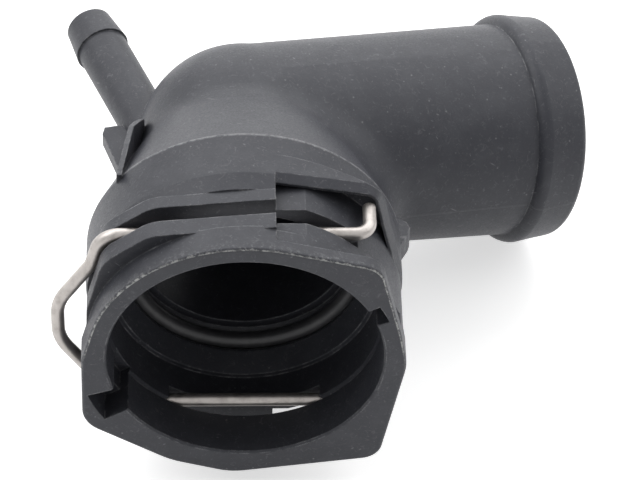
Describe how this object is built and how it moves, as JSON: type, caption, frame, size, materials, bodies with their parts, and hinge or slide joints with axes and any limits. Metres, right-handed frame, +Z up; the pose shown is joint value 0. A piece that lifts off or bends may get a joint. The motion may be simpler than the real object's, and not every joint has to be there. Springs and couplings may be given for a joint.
{
  "type": "coolant flange",
  "caption": "Moulded plastic coolant flange: an elbow with a push-in socket held by a sliding wire clip, an inner seal ring, a hose stub and a small vent nipple.",
  "frame": {"origin": "centre of the socket's mouth, on the bore axis", "axes": "+X towards the hose stub, +Y along the bore into the part, +Z up; the clip's arms lie along X above and below the bore"},
  "size_m": [0.0829, 0.0771, 0.0512],
  "materials": {
    "plastic": "satin",
    "steel": "satin",
    "rubber": "matte"
  },
  "bodies": {
    "flange": {"body": "plastic", "seal_ring": "rubber"},
    "clip": {"spring_clip": "steel"}
  },
  "joints": [
    {"name": "clip_slide", "type": "slide", "parent": "flange", "child": "clip", "axis": [-1, 0, 0], "range_m": [0, 0.0127], "deforming": ["spring_clip"]}
  ]
}
